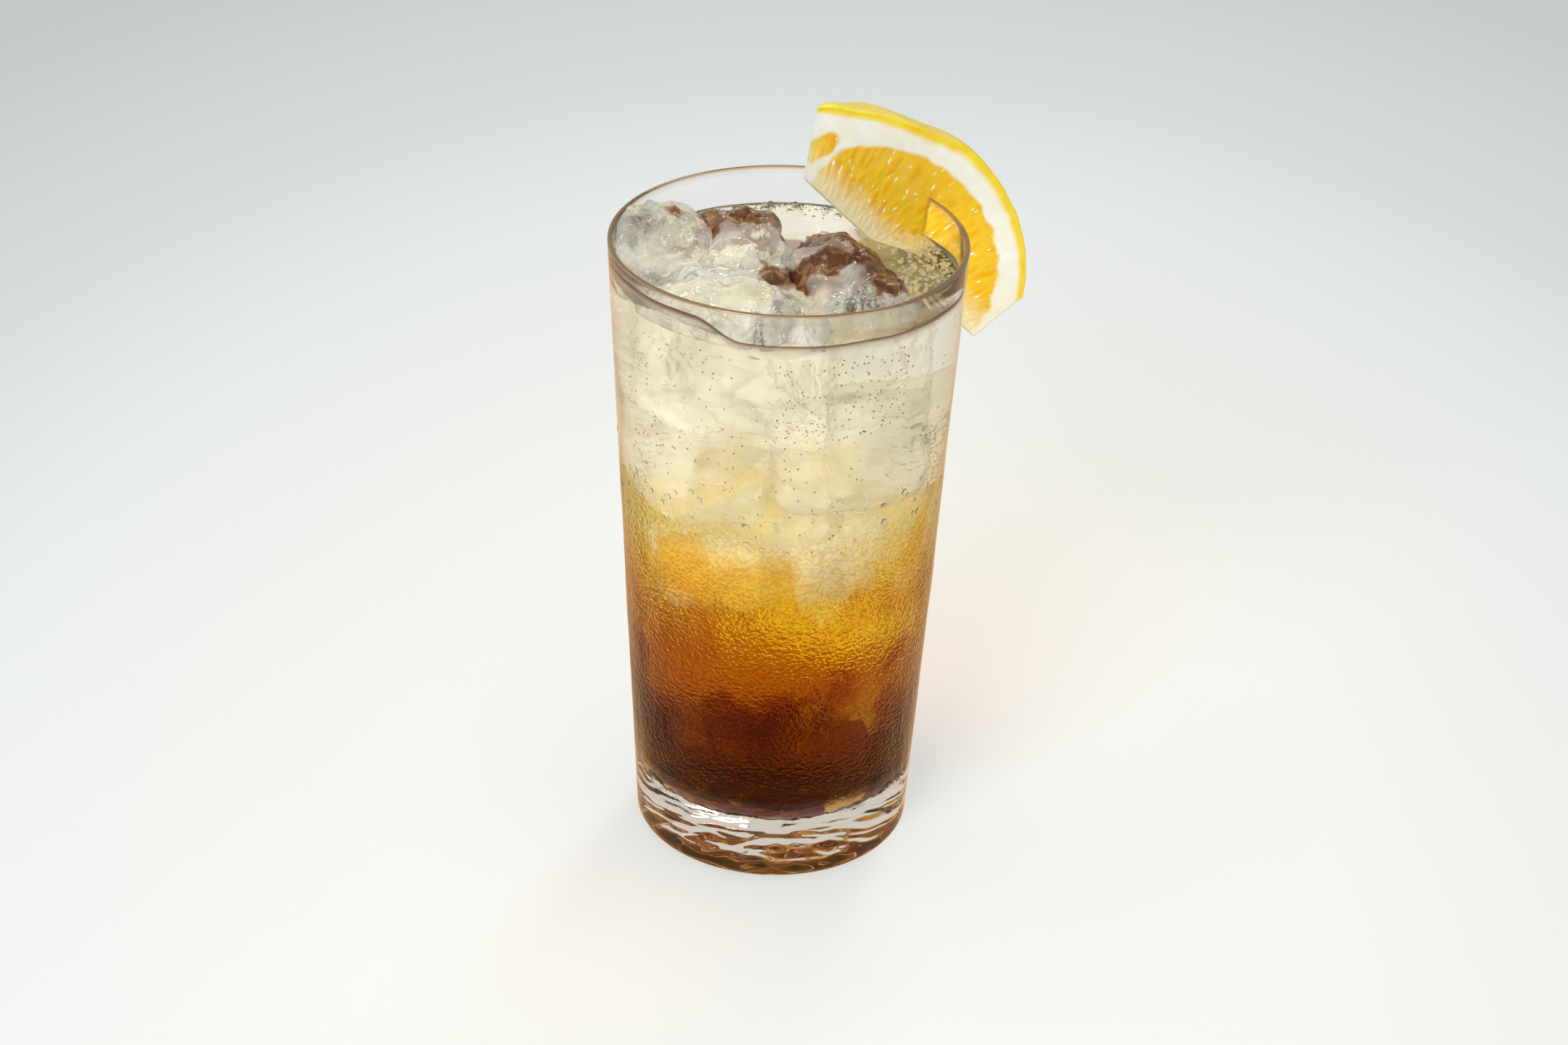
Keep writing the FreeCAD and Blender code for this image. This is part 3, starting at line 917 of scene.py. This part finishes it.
def clear_ice():
    """Melting ice, wet: clear, with a faint veil where it froze last, and glints on its ridges.
    Brown is painted on it where it bends the eye down to the dark coffee.
    """
    material, tree = new_material("clear_ice")
    place = node(tree, "ShaderNodeTexCoord").outputs["Object"]
    streaks = node(tree, "ShaderNodeMapping", vector=place, scale=(1, 1, 0.4)).outputs[0]
    veil = node(tree, "ShaderNodeTexNoise", vector=streaks, scale=1 / (6 * MM), detail=2.0)
    veiled = node(tree, "ShaderNodeMapRange", value=veil.outputs[0], in_1=0.35, in_2=0.7,
                  in_3=0.96, in_4=0.64)
    wrinkles = node(tree, "ShaderNodeTexNoise", vector=streaks, scale=1 / (2.6 * MM), detail=1.0,
                    distortion=1.2)
    bump = node(
        tree, "ShaderNodeBump", strength=0.7, distance=0.8 * MM, height=wrinkles.outputs[0],
    )
    # Painted view of the coffee: brown painted on the ice, varied by the wrinkles.
    painted_coffee_view = node(tree, "ShaderNodeAttribute", attribute_name="painted_coffee_view").outputs["Fac"]
    depth = node(tree, "ShaderNodeMapRange", value=wrinkles.outputs[0], in_1=0.35, in_2=0.6,
                 in_3=0.55, in_4=1.05)
    painted_coffee_shade = node(tree, "ShaderNodeMath", operation="MULTIPLY", in_0=painted_coffee_view, in_1=depth.outputs[0])
    tinted = node(tree, "ShaderNodeValToRGB", fac=painted_coffee_shade.outputs[0], stops=[
        (0.0, "fffdf4"), (0.5, "c89468"), (1.0, "6e3818"),
    ]).outputs["Color"]
    shader = node(
        tree, "ShaderNodeBsdfPrincipled", base_color=tinted, roughness=0.02, ior=1.31,
        transmission_weight=veiled.outputs[0], normal=bump.outputs[0],
    )
    finish(tree, lets_lamps_through(tree, shader, linear("fcfcfa")))
    return material


def sunk_ice():
    """The same ice under the drink, which all but hides it: only its edges and cloudy heart show."""
    material, tree = new_material("sunk_ice")
    place = node(tree, "ShaderNodeTexCoord").outputs["Object"]
    heart = node(tree, "ShaderNodeTexNoise", vector=place, scale=1 / (14 * MM), detail=2.0)
    clear = node(tree, "ShaderNodeMapRange", value=heart.outputs[0], in_1=0.35, in_2=0.65,
                 in_3=0.94, in_4=0.68)
    shader = node(
        tree, "ShaderNodeBsdfPrincipled", base_color=linear("faf9f5"), roughness=0.04, ior=0.99,
        transmission_weight=clear.outputs[0],
    )
    finish(tree, lets_lamps_through(tree, shader, linear("f7f7f3")))
    return material


def clear_all_over(name, colour, **settings):
    """A clear material that is the same all over."""
    material, tree = new_material(name)
    shader = node(tree, "ShaderNodeBsdfPrincipled", base_color=linear(colour), **settings)
    finish(tree, lets_lamps_through(tree, shader, linear("fafafa")))
    return material


def gas_bubble():
    """Gas in the drink: it bends light the other way, so each bubble has a dark edge."""
    return clear_all_over("gas_bubble", "cfa468", roughness=0.0, ior=0.75, transmission_weight=1.0)


def water():
    """Clean water in drops."""
    return clear_all_over("water", "ffffff", roughness=0.0, ior=1.333, transmission_weight=1.0)


def bubble_skin():
    """A bubble's thin skin of water: only its edge shows."""
    return clear_all_over("bubble_skin", "fffefa", roughness=0.0, ior=1.22, transmission_weight=1.0)


def lemony_foam():
    """Fine froth on soda and lemon juice: pale gold, and a little cloudy."""
    return clear_all_over("lemony_foam", "fbefcc", roughness=0.05, ior=1.15, transmission_weight=0.85)


def fresh_lemon():
    """Fresh lemon, cut: flesh wet and half clear, pith dull and white, zest waxy yellow, with
    painted white glints streaked over the flesh.
    """
    material, tree = new_material("fresh_lemon")
    place = node(tree, "ShaderNodeTexCoord").outputs["Object"]
    flesh = node(tree, "ShaderNodeAttribute", attribute_name="flesh").outputs["Fac"]
    zest = node(tree, "ShaderNodeAttribute", attribute_name="zest").outputs["Fac"]
    sac = node(tree, "ShaderNodeAttribute", attribute_name="sac").outputs["Fac"]
    shade = node(tree, "ShaderNodeAttribute", attribute_name="shade").outputs["Fac"]
    blotch = node(tree, "ShaderNodeTexNoise", vector=place, scale=1 / (5 * MM), detail=3.0)
    pulp = node(
        tree, "ShaderNodeValToRGB", fac=shade, stops=[(0.0, "f6b400"), (0.5, "fabe04"), (1.0, "fecc1c")],
    ).outputs["Color"]
    walls = node(tree, "ShaderNodeMix", data_type="RGBA", in_0=sac, in_6=linear("f8ca30"), in_7=pulp)
    core = node(tree, "ShaderNodeAttribute", attribute_name="core").outputs["Fac"]
    membrane = node(tree, "ShaderNodeMix", data_type="RGBA", in_0=core, in_6=walls.outputs[2],
                    in_7=linear("f6e8bc"))
    # Painted highlights: white glint streaks fanned over the flesh, along the juice sacs.
    fan = node(tree, "ShaderNodeAttribute", attribute_name="fan").outputs["Fac"]
    outward = node(tree, "ShaderNodeAttribute", attribute_name="outward").outputs["Fac"]
    radial = node(tree, "ShaderNodeCombineXYZ", x=fan, y=outward).outputs[0]
    radial = node(tree, "ShaderNodeMapping", vector=radial, scale=(1, 0.34, 1)).outputs[0]
    painted_glint_streaks = node(tree, "ShaderNodeTexNoise", vector=radial, scale=1 / (0.75 * MM), detail=1.0)
    painted_glint = node(tree, "ShaderNodeMapRange", value=painted_glint_streaks.outputs[0], in_1=0.67, in_2=0.72)
    painted_glint = node(tree, "ShaderNodeMath", operation="MULTIPLY", in_0=painted_glint.outputs[0], in_1=flesh)
    pith = node(
        tree, "ShaderNodeValToRGB", fac=blotch.outputs[0], stops=[(0.3, "f8f2dc"), (0.7, "fffdf2")],
    ).outputs["Color"]
    peel = node(
        tree, "ShaderNodeValToRGB", fac=blotch.outputs[0], stops=[(0.3, "fbcf1c"), (0.7, "ffe63e")],
    ).outputs["Color"]
    white = node(tree, "ShaderNodeMix", data_type="RGBA", in_0=zest, in_6=pith, in_7=peel)
    colour = node(
        tree, "ShaderNodeMix", data_type="RGBA", in_0=flesh, in_6=white.outputs[2],
        in_7=membrane.outputs[2],
    )
    colour = node(
        tree, "ShaderNodeMix", data_type="RGBA", in_0=painted_glint.outputs[0], in_6=colour.outputs[2],
        in_7=linear("fffdf0"),
    )
    gloss = node(tree, "ShaderNodeMapRange", value=flesh, in_3=0.42, in_4=0.14)
    fine = node(tree, "ShaderNodeTexNoise", vector=place, scale=1 / (0.8 * MM), detail=3.0)
    bump = node(
        tree, "ShaderNodeBump", strength=0.5, distance=0.12 * MM, height=fine.outputs[0],
    )
    shader = node(
        tree, "ShaderNodeBsdfPrincipled", base_color=colour.outputs[2],
        roughness=gloss.outputs[0], ior=1.38, subsurface_weight=0.4, subsurface_scale=3 * MM,
        subsurface_radius=(1.0, 0.75, 0.3), coat_weight=0.3, coat_roughness=0.06,
        normal=bump.outputs[0],
    )
    finish(tree, shader)
    return material


# ---------------------------------------------------------------- studio

FLOOR_SPREAD = 1.3    # over these metres the floor's painted light falls off, then meets the backdrop's
FLOOR_GLOW = 0.92     # a pale floor seen at this strength, with no shadow on it ...
FLOOR_LIFT = 0.4      # ... makes up this much of what the camera sees
GLASS_LIFT = 0.85     # ... and this much of what glass and drink show


def studio():
    """Plain pale floor with a painted light falloff, brightest by the glass and darkening slowly
    into the distance, seen in reflections as a painted warm tan; and soft light from all round.
    """
    material, tree = new_material("studio_floor")
    place = node(tree, "ShaderNodeTexCoord").outputs["Object"]
    spread = node(tree, "ShaderNodeMapping", vector=place, location=(-0.02, 0, 0),
                  scale=(1 / FLOOR_SPREAD, 0.65 / FLOOR_SPREAD, 1)).outputs[0]
    away = node(tree, "ShaderNodeVectorMath", operation="LENGTH", in_0=spread).outputs["Value"]
    # Painted light: the floor's tone is brightest by the glass and falls off into the distance, then rises
    # to meet the backdrop.
    floor_colour_and_painted_falloff = node(tree, "ShaderNodeValToRGB", fac=away, stops=[
        (0.078, "fdfdf9"), (0.138, "f4f6f3"), (0.171, "f0f3f1"), (0.222, "e2e6e5"), (0.254, "dde1e1"),
        (0.314, "d0d6d5"), (0.46, "c8cecd"), (0.56, "ccd2d1"), (0.9, "e2e7e6"),
    ]).outputs["Color"]
    lit = node(tree, "ShaderNodeBsdfPrincipled", base_color=floor_colour_and_painted_falloff, roughness=0.9)
    rays = node(tree, "ShaderNodeLightPath")
    plain = node(tree, "ShaderNodeEmission", color=floor_colour_and_painted_falloff, strength=FLOOR_GLOW)
    lifted = node(tree, "ShaderNodeMath", operation="MULTIPLY", in_0=rays.outputs["Is Camera Ray"],
                  in_1=FLOOR_LIFT)
    inside = node(tree, "ShaderNodeMath", operation="MULTIPLY",
                  in_0=rays.outputs["Is Transmission Ray"], in_1=GLASS_LIFT)
    share = node(tree, "ShaderNodeMath", operation="MAXIMUM", in_0=lifted.outputs[0],
                 in_1=inside.outputs[0])
    bare = node(tree, "ShaderNodeMixShader", in_0=share.outputs[0], in_1=lit.outputs[0],
                in_2=plain.outputs[0])
    # Painted reflection: reflections see the floor as a warm tan glow, which warms the glass's edges.
    painted_warm_reflection = node(tree, "ShaderNodeEmission", color=linear("e4b88c"), strength=1.0)
    mirrored = node(tree, "ShaderNodeMath", operation="SUBTRACT", use_clamp=True,
                    in_0=rays.outputs["Is Glossy Ray"], in_1=rays.outputs["Is Transmission Ray"])
    shader = node(tree, "ShaderNodeMixShader", in_0=mirrored.outputs[0],
                  in_1=bare.outputs[0], in_2=painted_warm_reflection.outputs[0])
    finish(tree, shader)
    bm = bmesh.new()
    bmesh.ops.create_circle(bm, cap_ends=True, segments=96, radius=3.0)
    mesh = bpy.data.meshes.new("studio_floor")
    bm.to_mesh(mesh)
    bm.free()
    mesh.materials.append(material)
    floor = bpy.data.objects.new("studio_floor", mesh)
    floor.location.z = -0.05 * MM
    bpy.context.scene.collection.objects.link(floor)

    world = bpy.data.worlds.new("studio_air")
    world.use_nodes = True
    bpy.context.scene.world = world
    tree = world.node_tree
    tree.nodes.clear()
    rays = node(tree, "ShaderNodeLightPath")
    seen = node(tree, "ShaderNodeMath", operation="MAXIMUM", in_0=rays.outputs["Is Camera Ray"],
                in_1=rays.outputs["Is Glossy Ray"])
    light = node(tree, "ShaderNodeBackground", color=linear("f4f6f6"), strength=0.58)
    backdrop = node(tree, "ShaderNodeBackground", color=linear("dfe4e3"), strength=1.0)
    blend = node(tree, "ShaderNodeMixShader", in_0=seen.outputs[0], in_1=light.outputs[0],
                 in_2=backdrop.outputs[0])
    node(tree, "ShaderNodeOutputWorld", surface=blend.outputs[0])

    for name, heading, rise, distance, size, power in (
        ("key_softbox", -118, 34, 1.1, 0.6, 7.8),
        ("back_softbox", 70, 50, 1.2, 0.24, 2.6),
    ):
        lamp = bpy.data.lights.new(name, "AREA")
        lamp.shape = "DISK"
        lamp.size = size
        lamp.energy = power
        holder = bpy.data.objects.new(name, lamp)
        h, r = math.radians(heading), math.radians(rise)
        away = Vector((math.cos(h) * math.cos(r), math.sin(h) * math.cos(r), math.sin(r)))
        holder.location = away * distance + Vector((0, 0, GLASS_HEIGHT / 2))
        holder.rotation_euler = away.to_track_quat("Z", "Y").to_euler()
        bpy.context.scene.collection.objects.link(holder)


CAMERA_LENS = 77.2                        # millimetres, on a sensor 36 wide
CAMERA_DISTANCE = 0.7355                  # metres
CAMERA_RISE = math.radians(29.5)
CAMERA_TILT = math.radians(1.89)
CAMERA_TARGET = Vector((0.9 * MM, 0, 73.5 * MM))


def camera():
    """Looks down on the glass from the front, a little tilted."""
    lens = bpy.data.cameras.new("camera")
    lens.lens = CAMERA_LENS
    lens.sensor_width = 36
    lens.clip_start = 0.01
    lens.clip_end = 20
    holder = bpy.data.objects.new("camera", lens)
    back = Vector((0, -math.cos(CAMERA_RISE), math.sin(CAMERA_RISE)))
    turn = back.to_track_quat("Z", "Y").to_matrix().to_4x4()
    tilt = Matrix.Rotation(CAMERA_TILT, 4, "Z")
    holder.matrix_world = Matrix.Translation(CAMERA_TARGET + back * CAMERA_DISTANCE) @ turn @ tilt
    bpy.context.scene.collection.objects.link(holder)
    bpy.context.scene.camera = holder


def main():
    tumbler(soda_lime_glass())
    drink(cold_brew())
    stains()
    cloudy = sunk_ice()
    ice(clear_ice(), cloudy)
    sunk_ices(cloudy)
    lemon(fresh_lemon())
    wall_bubbles(gas_bubble())
    surface_bubbles(bubble_skin(), lemony_foam())
    dew_drops(water())
    studio()
    camera()

    scene = bpy.context.scene
    scene.view_settings.view_transform = "Standard"
    scene.cycles.max_bounces = 14
    scene.cycles.transmission_bounces = 14
    scene.cycles.glossy_bounces = 10
    scene.cycles.transparent_max_bounces = 32
    scene.cycles.caustics_refractive = True
    scene.cycles.caustics_reflective = False


main()
